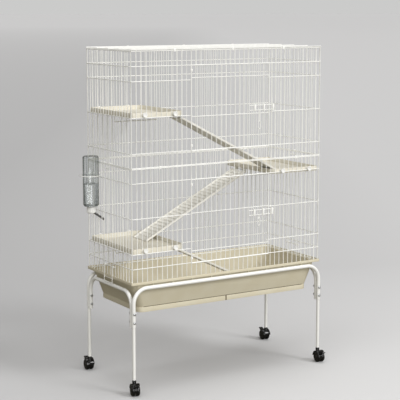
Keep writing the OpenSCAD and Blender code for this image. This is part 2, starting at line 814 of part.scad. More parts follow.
// Wire bail that swings on its pivot wire and hooks under the tray's lip
module tray_clip() {
  eye_x = clip_x - clip_bore - eye_t + 1;
  y0 = clip_ys[0];
  y1 = clip_ys[1];
  color(white_steel) {
    bent_rod(clip_d, [[eye_x, y0, clip_z], [clip_out, y0, clip_z], [clip_out, y0, clip_tail_z],
      [clip_out, y1, clip_tail_z], [clip_out, y1, clip_z], [eye_x, y1, clip_z]]);
    bent_rod(clip_d - 0.3, [[clip_out, y0, clip_hook_z], [clip_hook_x, y0, clip_hook_z],
      [clip_hook_x, y1, clip_hook_z], [clip_out, y1, clip_hook_z]]);
    for (y = clip_ys) translate([clip_x, y - eye_w / 2, clip_z]) rotate([-90, 0, 0]) difference() {
      cylinder(r = clip_bore + eye_t, h = eye_w);
      translate([0, 0, -1]) cylinder(r = clip_bore, h = eye_w + 2);
    }
  }
}

module tray_clip_left() { tray_clip(); }
module tray_clip_right() { right_side() tray_clip(); }

// ---------- platforms and ramps ----------

// Slab of a platform set in by inset, its corners rounder towards the middle of the cage
module platform_slab(i, inset, z, h) {
  w = platform_w - 2 * inset;
  d = platform_d - 2 * inset;
  a = corner_out - inset;
  b = corner_in - inset;
  translate([platform_xs[i] + (i == 1 ? platform_w - inset : inset), platform_front + inset, z])
    mirror([i == 1 ? 1 : 0, 0, 0]) linear_extrude(h) union() {
      translate([a, 0]) square([w - a - b, d]);
      translate([0, a]) square([a, d - 2 * a]);
      translate([w - b, b]) square([b, d - 2 * b]);
      for (y = [a, d - a]) translate([a, y]) circle(r = a);
      for (y = [b, d - b]) translate([w - b, y]) circle(r = b);
    }
}

// Shallow tray with two lugs below it that hold the ramp's rod between the ramp's hooks
module platform(i) {
  z = platform_rows[i];
  color(ivory) difference() {
    union() {
      platform_slab(i, 0, z, platform_h);
      for (y = [lug_in, ramp_w - lug_in - lug_t])
        translate([rod_x(i) - lug_r, ramp_fronts[i] + y, rod_z(i) - lug_r])
          cube([2 * lug_r, lug_t, lug_r + rod_drop + 1]);
    }
    platform_slab(i, platform_t, z + platform_t, platform_h);
    translate([rod_x(i), ramp_fronts[i], rod_z(i)]) rotate([-90, 0, 0])
      cylinder(d = rod_d + 2 * turn_play, h = ramp_w);
  }
}

module platform_upper_left() { platform(0); }
module platform_right() { platform(1); }
module platform_lower_left() { platform(2); }

module ramp_rods() {
  color("silver") for (i = [0:2])
    translate([rod_x(i), ramp_fronts[i] + rod_end, rod_z(i)]) rotate([-90, 0, 0])
      cylinder(d = rod_d, h = ramp_w - 2 * rod_end);
}

// Screw knobs that clamp a platform's rim to the front and back wires
module platform_knobs() {
  color("white") for (i = [0:2]) for (x = [knob_in, platform_side + platform_w - knob_in + platform_side]) {
    xc = i == 1 ? cage_w - gap_x(x) : gap_x(x);
    z = platform_rows[i] + platform_h - knob_drop;
    translate([xc, 0, z]) {
      knob(platform_front);
      translate([0, cage_d, 0]) mirror([0, 1, 0]) knob(cage_d - platform_front - platform_d);
    }
  }
}

// Knob head in front of the wires, with its shank reaching the rim at depth y_rim
module knob(y_rim) {
  y = rail_face + 0.4;
  rotate([90, 0, 0]) {
    translate([0, 0, y]) cylinder(d = knob_d, h = knob_t - 1.5);
    translate([0, 0, y + knob_t - 1.5]) cylinder(d1 = knob_d, d2 = knob_d - 4, h = 1.5);
    translate([0, 0, -y_rim]) cylinder(d = shank_d, h = y + y_rim + 1);
  }
}

// Bent wire under each platform that stiffens its floor
module platform_brackets() {
  y = cage_d / 2;
  color(white_steel) for (i = [0:2]) {
    z = platform_rows[i] - bracket_drop;
    x0 = platform_xs[i] + bracket_in;
    x1 = platform_xs[i] + platform_w - bracket_in;
    bent_rod(bracket_d, [[x0, y, platform_rows[i]], [x0, y, z], [x1, y, z], [x1, y, platform_rows[i]]]);
  }
}

// Ramp about its rod: it runs down along +x at the given slope, hooks at the top
module ramp(i) {
  len = ramp_len(i);
  treads = floor((len - 30) / tread_pitch);
  color(ivory) translate([rod_x(i), ramp_fronts[i], rod_z(i)]) mirror([ramp_dirs[i] == 1 ? 0 : 1, 0, 0])
    rotate([0, ramp_slope(i), 0]) difference() {
      union() {
        translate([ramp_start, 0, -ramp_below]) cube([len - ramp_start, ramp_w, ramp_t]);
        for (y = [0, ramp_w - curb_w]) translate([ramp_start, y, -ramp_below])
          cube([len - ramp_start, curb_w, ramp_t + curb_h]);
        for (k = [1:treads]) translate([k * tread_pitch + ramp_start, curb_w - 0.5, -ramp_drop - 0.5])
          cube([tread_w, ramp_w - 2 * curb_w + 1, tread_h + 0.5]);
        for (y = [curb_w + hook_in, ramp_w - curb_w - hook_in - hook_w]) translate([0, y, 0]) {
          rotate([-90, 0, 0]) cylinder(r = hook_r, h = hook_w);
          translate([-1, 0, -ramp_below]) cube([ramp_start + 3, hook_w, ramp_below - 1]);
        }
      }
      translate([0, -1, 0]) rotate([-90, 0, 0]) cylinder(d = rod_d + 2 * rod_play, h = ramp_w + 2);
      translate([-hook_r - 1, -1, -3]) cube([hook_r + 1, ramp_w + 2, 3]);
    }
}

module ramp_upper() { ramp(0); }
module ramp_middle() { ramp(1); }
module ramp_lower() { ramp(2); }

// ---------- water bottle ----------

module at_bottle() {
  translate([bottle_x, bottle_y, 0]) children();
}

// Spout's own frame: z runs out of the cap, down and through the wall
module at_spout() {
  translate([bottle_x + 2, bottle_y, cap_z + 8]) rotate([0, 90 + spout_a, 0]) children();
}

module bottle_body() {
  r = bottle_d / 2;
  w = bottle_wall;
  color([0.55, 0.60, 0.58, 0.5]) at_bottle() rotate_extrude($fn = 96) polygon([
    [0, bottle_top], [r - 4, bottle_top], [r, bottle_top - 4], [r, bottle_z0 + 10], [r - 4, bottle_z0 + 2],
    [neck_r, bottle_z0], [neck_r, neck_z], [neck_r - w, neck_z], [neck_r - w, bottle_z0 + w],
    [r - 4 - w, bottle_z0 + 2 + w], [r - w, bottle_z0 + 10 + w], [r - w, bottle_top - 4 - w],
    [r - 4 - w, bottle_top - w], [0, bottle_top - w]]);
}

module bottle_cap() {
  color("white") difference() {
    at_bottle() rotate_extrude($fn = 96) polygon([[0, cap_z], [cap_r - 3, cap_z], [cap_r, cap_z + 3],
      [cap_r, bottle_z0 - 0.3], [neck_r + turn_play, bottle_z0 - 0.3], [neck_r + turn_play, cap_floor],
      [0, cap_floor]]);
    at_spout() {
      translate([0, 0, -5]) cylinder(r = spout_r + turn_play, h = spout_len);
      translate([0, 0, -14]) cylinder(r = spout_bore, h = 14);
    }
  }
}

module bottle_spout() {
  color([0.35, 0.35, 0.36]) at_spout() difference() {
    translate([0, 0, -4.8]) cylinder(r = spout_r, h = spout_len + 4.8);
    translate([0, 0, -6]) cylinder(r = spout_bore, h = spout_len + 5);
    cylinder(r = lip_r, h = spout_len + 1);
  }
}

module spout_ball() {
  color("silver") at_spout() translate([0, 0, spout_len - 1 - sqrt(ball_r * ball_r - lip_r * lip_r) - 0.03])
    sphere(r = ball_r);
}

// Ring round the bottle; two stays rise from it and hook over the seam's cross wire
module bottle_holder() {
  ring_x = holder_x + sqrt(holder_r * holder_r - stay_y * stay_y);
  color(white_steel) {
    translate([holder_x, bottle_y, holder_z]) rotate_extrude($fn = 96) translate([holder_r, 0])
      circle(d = holder_d);
    for (s = [-1, 1]) translate([0, bottle_y + s * stay_y, 0])
      bent_rod(stay_d, [[ring_x, 0, holder_z], [stay_x, 0, holder_z], [stay_x, 0, stay_top],
        [stay_in_x, 0, stay_top], [stay_in_x, 0, stay_top - stay_end]]);
  }
}

// ---------- one line for each node ----------

placed() front_frame_tube();
placed() back_frame_tube();
placed() left_frame_tube();
placed() right_frame_tube();
placed() legs();
placed() frame_bolts();
placed() frame_nuts();
placed() tube_end_caps();
placed() leg_plugs();
placed() caster_stems();
placed() caster_fork(0);  // caster_fork_front_left
placed() caster_fork(1);  // caster_fork_front_right
placed() caster_fork(2);  // caster_fork_back_left
placed() caster_fork(3);  // caster_fork_back_right
placed() caster_wheels(0);  // caster_wheels_front_left
placed() caster_wheels(1);  // caster_wheels_front_right
placed() caster_wheels(2);  // caster_wheels_back_left
placed() caster_wheels(3);  // caster_wheels_back_right
placed() caster_brake(0);  // caster_brake_front_left
placed() caster_brake(1);  // caster_brake_front_right
placed() caster_brake(2);  // caster_brake_back_left
placed() caster_brake(3);  // caster_brake_back_right
placed() tray();
placed() lower_front_panel();
placed() lower_back_panel();
placed() lower_left_panel();
placed() lower_right_panel();
placed() upper_front_panel();
placed() upper_back_panel();
placed() upper_left_panel();
placed() upper_right_panel();
placed() roof_panel();
placed() door(true);  // upper_door
placed() door(false);  // lower_door
placed() door_hinges(true);  // upper_door_hinges
placed() door_hinges(false);  // lower_door_hinges
placed() latch(true);  // upper_latch
placed() latch(false);  // lower_latch
placed() latch_guides(true);  // upper_latch_guides
placed() latch_guides(false);  // lower_latch_guides
placed() latch_catches();
placed() panel_clips();
placed() tray_clip_left();
placed() tray_clip_right();
placed() tray_clip_pivots();
placed() platform_upper_left();
placed() platform_right();
placed() platform_lower_left();
placed() platform_knobs();
placed() platform_brackets();
placed() ramp_rods();
placed() ramp_upper();
placed() ramp_middle();
placed() ramp_lower();
placed() bottle_body();
placed() bottle_cap();
placed() bottle_spout();
placed() spout_ball();
placed() bottle_holder();
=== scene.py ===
import json
import math

import bpy
from mathutils import Matrix, Vector


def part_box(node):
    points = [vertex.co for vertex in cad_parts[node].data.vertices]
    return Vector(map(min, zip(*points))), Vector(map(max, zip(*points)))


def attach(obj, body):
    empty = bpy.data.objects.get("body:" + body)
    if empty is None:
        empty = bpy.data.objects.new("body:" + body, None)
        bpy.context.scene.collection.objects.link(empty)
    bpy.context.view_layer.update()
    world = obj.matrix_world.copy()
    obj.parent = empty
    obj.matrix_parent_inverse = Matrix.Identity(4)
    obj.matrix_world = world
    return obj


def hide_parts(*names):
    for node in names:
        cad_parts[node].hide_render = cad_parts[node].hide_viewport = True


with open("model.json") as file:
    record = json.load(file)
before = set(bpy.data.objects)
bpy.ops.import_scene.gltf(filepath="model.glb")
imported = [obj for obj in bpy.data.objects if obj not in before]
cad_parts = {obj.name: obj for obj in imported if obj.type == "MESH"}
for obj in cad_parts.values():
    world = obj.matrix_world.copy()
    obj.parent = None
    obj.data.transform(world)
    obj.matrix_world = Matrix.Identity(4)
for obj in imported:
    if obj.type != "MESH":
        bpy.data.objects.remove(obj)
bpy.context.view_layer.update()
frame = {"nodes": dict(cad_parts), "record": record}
nodes = frame["nodes"]
mm = 0.001  # sizes below are in millimetres, unless a note says otherwise


def linear(hexText):
    parts = [int(hexText[i:i + 2], 16) / 255 for i in (1, 3, 5)]
    return [c / 12.92 if c <= 0.04045 else ((c + 0.055) / 1.055) ** 2.4 for c in parts] + [1.0]


def addNode(tree, kind, settings=(), inputs=(), links=()):
    node = tree.nodes.new(kind)
    for name, value in settings:
        setattr(node, name, value)
    for socket, value in inputs:
        node.inputs[socket].default_value = value
    for socket, source in links:
        tree.links.new(source, node.inputs[socket])
    return node


def startMaterial(name, shaderInputs):
    material = bpy.data.materials.new(name)
    material.use_nodes = True
    tree = material.node_tree
    tree.nodes.clear()
    shader = addNode(tree, "ShaderNodeBsdfPrincipled", inputs=shaderInputs)
    addNode(tree, "ShaderNodeOutputMaterial", links=[("Surface", shader.outputs["BSDF"])])
    return material, tree, shader


mixFirst, mixSecond, mixedOut = 6, 7, 2  # a Mix node's sockets for colours
noiseSpan = (0.3, 0.7)  # nearly all of a noise's values lie between these


def fineRelief(tree, shader, place, sizeMm, depthMm, strength, detail=2.0):
    # small unevenness of a surface, as a bump
    noise = addNode(tree, "ShaderNodeTexNoise", inputs=[("Scale", 1000 / sizeMm), ("Detail", detail)],
                    links=[("Vector", place)])
    bump = addNode(tree, "ShaderNodeBump", inputs=[("Distance", depthMm * mm), ("Strength", strength)],
                   links=[("Height", noise.outputs["Fac"])])
    tree.links.new(bump.outputs["Normal"], shader.inputs["Normal"])
    return noise.outputs["Fac"]


def shadeAlong(tree, shader, along, span, colours):
    # the surface passes from the first colour to the second over this span of a value
    tones = addNode(tree, "ShaderNodeValToRGB", links=[("Fac", along)])
    for stop, position, colour in zip(tones.color_ramp.elements, span, colours):
        stop.position, stop.color = position, linear(colour)
    tree.links.new(tones.outputs["Color"], shader.inputs["Base Color"])


wirePaint = {"colour": "#FAFAF7", "roughness": 0.32, "ior": 1.5, "waveMm": 3.0, "waveDepthMm": 0.03,
             "waveStrength": 0.6}


def paintedWire():
    # powder-coated steel wire, dipped and baked: thick, slightly wavy and half glossy
    material, tree, shader = startMaterial("powderCoatedWire", [
        ("Base Color", linear(wirePaint["colour"])), ("Roughness", wirePaint["roughness"]),
        ("IOR", wirePaint["ior"])])
    place = addNode(tree, "ShaderNodeTexCoord").outputs["Object"]
    fineRelief(tree, shader, place, wirePaint["waveMm"], wirePaint["waveDepthMm"],
               wirePaint["waveStrength"], detail=1.0)
    return material


tubePaint = {"colour": "#F1F1EE", "roughness": 0.27, "ior": 1.5, "coat": 0.25, "coatRoughness": 0.1,
             "peelMm": 4.0, "peelDepthMm": 0.02, "peelStrength": 0.5}


def paintedTube():
    # powder-coated steel tube, electrostatic spray: half glossy with a faint orange peel
    material, tree, shader = startMaterial("powderCoatedTube", [
        ("Base Color", linear(tubePaint["colour"])), ("Roughness", tubePaint["roughness"]),
        ("IOR", tubePaint["ior"]), ("Coat Weight", tubePaint["coat"]),
        ("Coat Roughness", tubePaint["coatRoughness"])])
    place = addNode(tree, "ShaderNodeTexCoord").outputs["Object"]
    fineRelief(tree, shader, place, tubePaint["peelMm"], tubePaint["peelDepthMm"], tubePaint["peelStrength"])
    return material


zincPlate = {"colour": "#C9CBCD", "spoutColour": "#8A8B8D", "roughLow": 0.22, "roughHigh": 0.42,
             "spangleMm": 6.0}


def platedSteel(name, colour):
    # plated cold-drawn steel: metallic, with cloudy patches of gloss
    material, tree, shader = startMaterial(name, [("Base Color", linear(colour)), ("Metallic", 1.0)])
    place = addNode(tree, "ShaderNodeTexCoord").outputs["Object"]
    spangle = addNode(tree, "ShaderNodeTexNoise", inputs=[
        ("Scale", 1000 / zincPlate["spangleMm"]), ("Detail", 3.0)], links=[("Vector", place)])
    gloss = addNode(tree, "ShaderNodeMapRange", inputs=[
        ("From Min", noiseSpan[0]), ("From Max", noiseSpan[1]),
        ("To Min", zincPlate["roughLow"]), ("To Max", zincPlate["roughHigh"])],
        links=[("Value", spangle.outputs["Fac"])])
    tree.links.new(gloss.outputs["Result"], shader.inputs["Roughness"])
    return material


plasticGrain = {"ior": 1.49, "flowMm": 60.0, "flowSpan": (0.35, 0.65), "strength": 0.5}
# a grain is its size and its depth; real spark-eroded grain is near 0.1 mm and is drawn coarser to show
plasticLooks = {
    # injection-moulded polypropylene: matt
    "trayPolypropylene": {"colours": ("#D3CBB3", "#D6CFB9"), "roughness": 0.5, "grain": (0.9, 0.05)},
    # injection-moulded ABS in ivory and in pale grey: satin
    "platformAbs": {"colours": ("#DCD7C8", "#DFDBCE"), "roughness": 0.42, "grain": (0.9, 0.04)},
    "rampAbs": {"colours": ("#EAE8E0", "#EDEBE4"), "roughness": 0.45, "grain": (0.9, 0.04)},
    # ABS from a polished tool: white and glossier
    "knobAbs": {"colours": ("#F1F1EE", "#F3F3F1"), "roughness": 0.34, "grain": (1.5, 0.01)},
    # moulded glass-filled nylon: black with a low sheen
    "casterNylon": {"colours": ("#070708", "#0B0B0C"), "roughness": 0.2, "grain": (0.8, 0.015)},
    # cast polyurethane: black, softer gloss
    "treadPolyurethane": {"colours": ("#060607", "#0A0A0B"), "roughness": 0.26, "grain": (1.2, 0.015)}}


def mouldedPlastic(name):
    # the two colours drift by a few percent along the melt's flow, over a spark-eroded grain
    look = plasticLooks[name]
    material, tree, shader = startMaterial(name, [
        ("Roughness", look["roughness"]), ("IOR", plasticGrain["ior"])])
    place = addNode(tree, "ShaderNodeTexCoord").outputs["Object"]
    flow = addNode(tree, "ShaderNodeTexNoise", inputs=[
        ("Scale", 1000 / plasticGrain["flowMm"]), ("Detail", 2.0)], links=[("Vector", place)])
    shadeAlong(tree, shader, flow.outputs["Fac"], plasticGrain["flowSpan"], look["colours"])
    fineRelief(tree, shader, place, *look["grain"], plasticGrain["strength"])
    return material


# the groove's colour is painted shade in the crease round the foot; the mark is a dark upright stripe in the
# middle; skin is how deep the painted dark colour reaches
grooveShadeAndMark = {"colour": "#6F6550", "aboveFoot": 20.0, "height": 3.0, "markWidth": 6.0, "markHeight": 22.5,
          "skin": 1.9}


def inBand(tree, value, low, high):
    # 1 where the value lies between low and high
    above = addNode(tree, "ShaderNodeMath", [("operation", "GREATER_THAN")], [(1, low)], [(0, value)])
    below = addNode(tree, "ShaderNodeMath", [("operation", "LESS_THAN")], [(1, high)], [(0, value)])
    return addNode(tree, "ShaderNodeMath", [("operation", "MULTIPLY")], links=[
        (0, above.outputs[0]), (1, below.outputs[0])]).outputs[0]


def withinFoot(tree, place):
    # 1 inside the tray's straight foot, 0 on its outer skin and beyond
    places = [corner.co for corner in nodes["tray"].data.vertices]
    footTop = min(co.z for co in places) + mm
    halfX, halfY = [max(abs(co[axis]) for co in places if co.z < footTop) - grooveShadeAndMark["skin"] * mm
                    for axis in (0, 1)]
    inX = inBand(tree, place.outputs["X"], -halfX, halfX)
    inY = inBand(tree, place.outputs["Y"], -halfY, halfY)
    return addNode(tree, "ShaderNodeMath", [("operation", "MULTIPLY")], links=[(0, inX), (1, inY)]).outputs[0]


def trayPolypropylene():
    # painted shade darkens the groove round the foot, and a dark upright mark is painted in the middle of the
    # foot's front and back
    material = mouldedPlastic("trayPolypropylene")
    tree = material.node_tree
    shader = next(node for node in tree.nodes if node.type == "BSDF_PRINCIPLED")
    plain = shader.inputs["Base Color"].links[0].from_socket
    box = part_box("tray")
    foot, middle = box[0][2], (box[0][0] + box[1][0]) / 2
    grooveLow, markHalf = foot + grooveShadeAndMark["aboveFoot"] * mm, grooveShadeAndMark["markWidth"] / 2 * mm
    place = addNode(tree, "ShaderNodeSeparateXYZ", links=[
        ("Vector", addNode(tree, "ShaderNodeTexCoord").outputs["Object"])])
    # painted shade: a dark band in the groove round the foot
    line = inBand(tree, place.outputs["Z"], grooveLow, grooveLow + grooveShadeAndMark["height"] * mm)
    across = inBand(tree, place.outputs["X"], middle - markHalf, middle + markHalf)
    up = inBand(tree, place.outputs["Z"], foot - mm, foot + grooveShadeAndMark["markHeight"] * mm)
    mark = addNode(tree, "ShaderNodeMath", [("operation", "MULTIPLY")], links=[(0, across), (1, up)])
    either = addNode(tree, "ShaderNodeMath", [("operation", "MAXIMUM")], links=[
        (0, line), (1, mark.outputs[0])])
    outside = addNode(tree, "ShaderNodeMath", [("operation", "SUBTRACT"), ("use_clamp", True)], links=[
        (0, either.outputs[0]), (1, withinFoot(tree, place))])
    # the painted shade and the mark take the dark colour only on the foot's outer skin
    paint = addNode(tree, "ShaderNodeMix", [("data_type", "RGBA")], [(mixSecond, linear(grooveShadeAndMark["colour"]))],
                    [("Factor", outside.outputs[0]), (mixFirst, plain)])
    tree.links.new(paint.outputs[mixedOut], shader.inputs["Base Color"])
    return material


# a round clear body is darkened towards its outline by painted shade, for the dark edges that bent and
# mirrored light gives; in the bottle a part of it is the deeper tint of more wall lying behind
rimShadeBlend = 0.35
clearWall = {"tintsToShadedRim": ("#F4F6F6", "#949B9A"), "tintSpan": (0.1, 0.5), "roughness": 0.03, "ior": 1.45,
             "streakMm": 13.0, "streakStretch": 0.04, "paintedStripes": 0.7, "waveDepthMm": 0.12,
             "waveStrength": 0.4}
waterLook = {"tintsToShadedRim": ("#FFFFFF", "#8F9796"), "tintSpan": (0.3, 0.8), "ior": 1.333}


def clearBottlePlastic():
    # blow-moulded PET: clear, with a wall drawn out lengthwise that bends what is seen through it
    material, tree, shader = startMaterial("blownClearPet", [
        ("Roughness", clearWall["roughness"]), ("Transmission Weight", 1.0), ("IOR", clearWall["ior"])])
    place = addNode(tree, "ShaderNodeTexCoord").outputs["Object"]
    drawn = addNode(tree, "ShaderNodeMapping", inputs=[("Scale", (1, 1, clearWall["streakStretch"]))],
                    links=[("Vector", place)])
    streaks = fineRelief(tree, shader, drawn.outputs["Vector"], clearWall["streakMm"],
                         clearWall["waveDepthMm"], clearWall["waveStrength"], detail=1.0)
    # painted stripes of reflected light and shade: the lengthwise streaks also shift the colour lighter and
    # darker
    paintedStripeShift = addNode(tree, "ShaderNodeMapRange", inputs=[
        ("From Min", noiseSpan[0]), ("From Max", noiseSpan[1]),
        ("To Min", -clearWall["paintedStripes"] / 2), ("To Max", clearWall["paintedStripes"] / 2)],
        links=[("Value", streaks)])
    # painted shade: the colour darkens towards the outline
    rim = addNode(tree, "ShaderNodeLayerWeight", inputs=[("Blend", rimShadeBlend)])
    # the painted stripes of light and shade are added to the rim's darkening
    depth = addNode(tree, "ShaderNodeMath", [("operation", "ADD")], links=[
        (0, rim.outputs["Facing"]), (1, paintedStripeShift.outputs["Result"])])
    shadeAlong(tree, shader, depth.outputs[0], clearWall["tintSpan"], clearWall["tintsToShadedRim"])
    return material


def drinkingWater():
    # still water: clear and perfectly smooth
    material, tree, shader = startMaterial("drinkingWater", [
        ("Roughness", 0.0), ("Transmission Weight", 1.0), ("IOR", waterLook["ior"])])
    # painted shade: the water darkens towards its outline
    rim = addNode(tree, "ShaderNodeLayerWeight", inputs=[("Blend", rimShadeBlend)])
    shadeAlong(tree, shader, rim.outputs["Facing"], waterLook["tintSpan"], waterLook["tintsToShadedRim"])
    return material


zinc = platedSteel("zincPlatedSteel", zincPlate["colour"])
waterClear = drinkingWater()
materialOf = {
    "white_tube": paintedTube(), "white_wire": paintedWire(), "zinc_steel": zinc, "ball_steel": zinc,
    "tray_beige": trayPolypropylene(), "platform_ivory": mouldedPlastic("platformAbs"),
    "ramp_grey": mouldedPlastic("rampAbs"), "knob_white": mouldedPlastic("knobAbs"),
    "black_plastic": mouldedPlastic("casterNylon"), "bottle_clear": clearBottlePlastic(),
    "wheel_black": mouldedPlastic("treadPolyurethane"),
    "spout_steel": platedSteel("drawnSteelTube", zincPlate["spoutColour"])}
slotOf = {part["node"]: part["material_slot"] for part in frame["record"]["subparts"]}
for nodeName, nodeObject in nodes.items():
    nodeObject.data.materials.clear()
    nodeObject.data.materials.append(materialOf[slotOf[nodeName]])
print("materials ready")


bodyOf = {nodeName: body for body, members in frame["record"]["behaviour"]["bodies"].items()
          for nodeName in members}


def selectOnly(*objects):
    bpy.ops.object.select_all(action="DESELECT")
    for item in objects:
        item.select_set(True)
    bpy.context.view_layer.objects.active = objects[0]


def applyModifier(piece, kind, **settings):
    modifier = piece.modifiers.new(kind.lower(), kind)
    for name, value in settings.items():
        setattr(modifier, name, value)
    selectOnly(piece)
    bpy.ops.object.modifier_apply(modifier=modifier.name)


def finishPiece(piece, name, nodeNames, smoothDeg=35, body=None, slot=None, material=None):
    selectOnly(piece)
    bpy.ops.object.transform_apply(location=True, rotation=True, scale=True)
    bpy.ops.object.shade_smooth_by_angle(angle=math.radians(smoothDeg))
    piece.name = name
    piece.data.name = name
    slot = slot or slotOf[nodeNames[0]]
    piece.data.materials.clear()
    piece.data.materials.append(material or materialOf[slot])
    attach(piece, body or bodyOf[nodeNames[0]])
    if nodeNames:
        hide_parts(*nodeNames)


# points this near each other become one, and so do faces this nearly in line
merge = {"apartMm": 0.002, "flatDeg": 0.3}


def nodeCopy(nodeName):
    # a merged copy of the plain part, with its flat faces whole again
    source = nodes[nodeName]
    piece = source.copy()
    piece.data = source.data.copy()
    bpy.context.collection.objects.link(piece)
    selectOnly(piece)
    bpy.ops.mesh.customdata_custom_splitnormals_clear()
    bpy.ops.object.mode_set(mode="EDIT")
    bpy.ops.mesh.select_all(action="SELECT")
    bpy.ops.mesh.remove_doubles(threshold=merge["apartMm"] * mm)
    bpy.ops.mesh.dissolve_limited(angle_limit=math.radians(merge["flatDeg"]))
    bpy.ops.object.mode_set(mode="OBJECT")
    return piece


def softenEdges(piece, widthMm, segments=2, angleDeg=40):
    applyModifier(piece, "BEVEL", width=widthMm * mm, segments=segments, limit_method="ANGLE",
                  angle_limit=math.radians(angleDeg), use_clamp_overlap=True, harden_normals=False)


croppedEnd = 0.16  # the rounding of a wire's end, as a share of its diameter


def roundWire(diameter, start, end, sides=12):
    # straight wire with cropped, slightly rounded ends
    start, end = Vector(start), Vector(end)
    run = end - start
    bpy.ops.object.select_all(action="DESELECT")
    bpy.ops.mesh.primitive_cylinder_add(vertices=sides, radius=diameter / 2, depth=run.length,
                                        end_fill_type="NGON")
    wire = bpy.context.object
    applyModifier(wire, "BEVEL", width=diameter * croppedEnd, segments=1, limit_method="ANGLE",
                  angle_limit=math.radians(60))
    turn = run.to_track_quat("Z", "Y").to_matrix().to_4x4()
    wire.data.transform(Matrix.Translation((start + end) / 2) @ turn)
    return wire


def wireRow(diameter, start, end, step=None, count=1):
    wire = roundWire(diameter, start, end)
    if count > 1:
        applyModifier(wire, "ARRAY", count=count, use_relative_offset=False, use_constant_offset=True,
                      constant_offset_displace=step)
    return wire


def joinPieces(pieces):
    selectOnly(*pieces)
    if len(pieces) > 1:
        bpy.ops.object.join()
    return bpy.context.view_layer.objects.active


# weld is how far crossing wires sink into each other; doorFirst and doorLast are the uprights
# beside the doorway, counted from the left
wall = {"upright": 2.6, "cross": 3.2, "doorEdge": 4.0, "weld": 0.3, "rows": [60, 118, 258, 397],
        "doorRows": [109, 262], "gaps": 40, "doorFirst": 12, "doorLast": 28, "sideGaps": 16, "sideInset": 4,
        "roofRails": 5}
upright, cross = wall["upright"] * mm, wall["cross"] * mm
crossOut = (wall["upright"] + wall["cross"]) / 2 * mm - wall["weld"] * mm

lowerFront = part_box("lower_front_panel")
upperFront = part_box("upper_front_panel")
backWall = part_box("lower_back_panel")
hexFlats = math.cos(math.radians(30))  # a plain wire's width over its flats, as a share of its corners'
hexHalf = upright / 2 / hexFlats
wallX = [lowerFront[0][0] + hexHalf, lowerFront[1][0] - hexHalf]
wallY = [lowerFront[1][1] - upright / 2, backWall[0][1] + upright / 2]
pitch = (wallX[1] - wallX[0]) / wall["gaps"]
doorX = [wallX[0] + wall["doorFirst"] * pitch, wallX[0] + wall["doorLast"] * pitch]


def crossHeights(box, upper):
    # the two edges first, then the rows, counted from the section's outer end
    low, high = box[0][2], box[1][2]
    inner = [high - row * mm if upper else low + row * mm for row in wall["rows"]]
    return [low + cross / 2, high - cross / 2, *inner]


def frontWall(name, nodeName, upper):
    # the outermost rows bound the doorway, and the two between them stop at it
    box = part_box(nodeName)
    low, high = box[0][2], box[1][2]
    y = wallY[0]
    heights = crossHeights(box, upper)
    sill, head = min(heights[2], heights[5]), max(heights[2], heights[5])
    step = (pitch, 0, 0)
    sideCount = wall["doorFirst"] + 1
    doorCount = wall["doorLast"] - wall["doorFirst"] - 1
    inDoor = doorX[0] + pitch
    made = [
        wireRow(upright, (wallX[0], y, low), (wallX[0], y, high), step, sideCount),
        wireRow(upright, (doorX[1], y, low), (doorX[1], y, high), step, sideCount),
        wireRow(upright, (inDoor, y, low), (inDoor, y, sill + cross / 2), step, doorCount),
        wireRow(upright, (inDoor, y, head - cross / 2), (inDoor, y, high), step, doorCount)]
    x0, x1 = wallX[0] - upright / 2, wallX[1] + upright / 2
    for height in heights:
        spans = [(x0, x1)]
        if height in heights[3:5]:
            spans = [(x0, doorX[0] + upright / 2), (doorX[1] - upright / 2, x1)]
        made += [wireRow(cross, (a, y - crossOut, height), (b, y - crossOut, height)) for a, b in spans]
    finishPiece(joinPieces(made), name, [nodeName])


def backGrille(name, nodeName, upper):
    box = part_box(nodeName)
    y = wallY[1]
    made = [wireRow(upright, (wallX[0], y, box[0][2]), (wallX[0], y, box[1][2]), (pitch, 0, 0),
                    wall["gaps"] + 1)]
    x0, x1 = wallX[0] - upright / 2, wallX[1] + upright / 2
    made += [wireRow(cross, (x0, y + crossOut, z), (x1, y + crossOut, z))
             for z in crossHeights(box, upper)]
    finishPiece(joinPieces(made), name, [nodeName])


def sideGrille(name, nodeName, upper, x, out):
    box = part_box(nodeName)
    first, last = wallY[0] + wall["sideInset"] * mm, wallY[1] - wall["sideInset"] * mm
    step = (0, (last - first) / wall["sideGaps"], 0)
    made = [wireRow(upright, (x, first, box[0][2]), (x, first, box[1][2]), step, wall["sideGaps"] + 1)]
    made += [wireRow(cross, (x + out * crossOut, box[0][1], z), (x + out * crossOut, box[1][1], z))
             for z in crossHeights(box, upper)]
    finishPiece(joinPieces(made), name, [nodeName])


def roofGrille():
    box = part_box("roof_panel")
    low = box[0][2] + upright / 2
    high = box[1][2] - cross / 2
    made = [wireRow(upright, (wallX[0], box[0][1], low), (wallX[0], box[1][1], low), (pitch, 0, 0),
                    wall["gaps"] + 1)]
    y0, y1 = wallY[0] - crossOut, wallY[1] + crossOut
    made.append(wireRow(cross, (box[0][0], y0, high), (box[1][0], y0, high),
                        (0, (y1 - y0) / (wall["roofRails"] - 1), 0), wall["roofRails"]))
    finishPiece(joinPieces(made), "roof", ["roof_panel"])


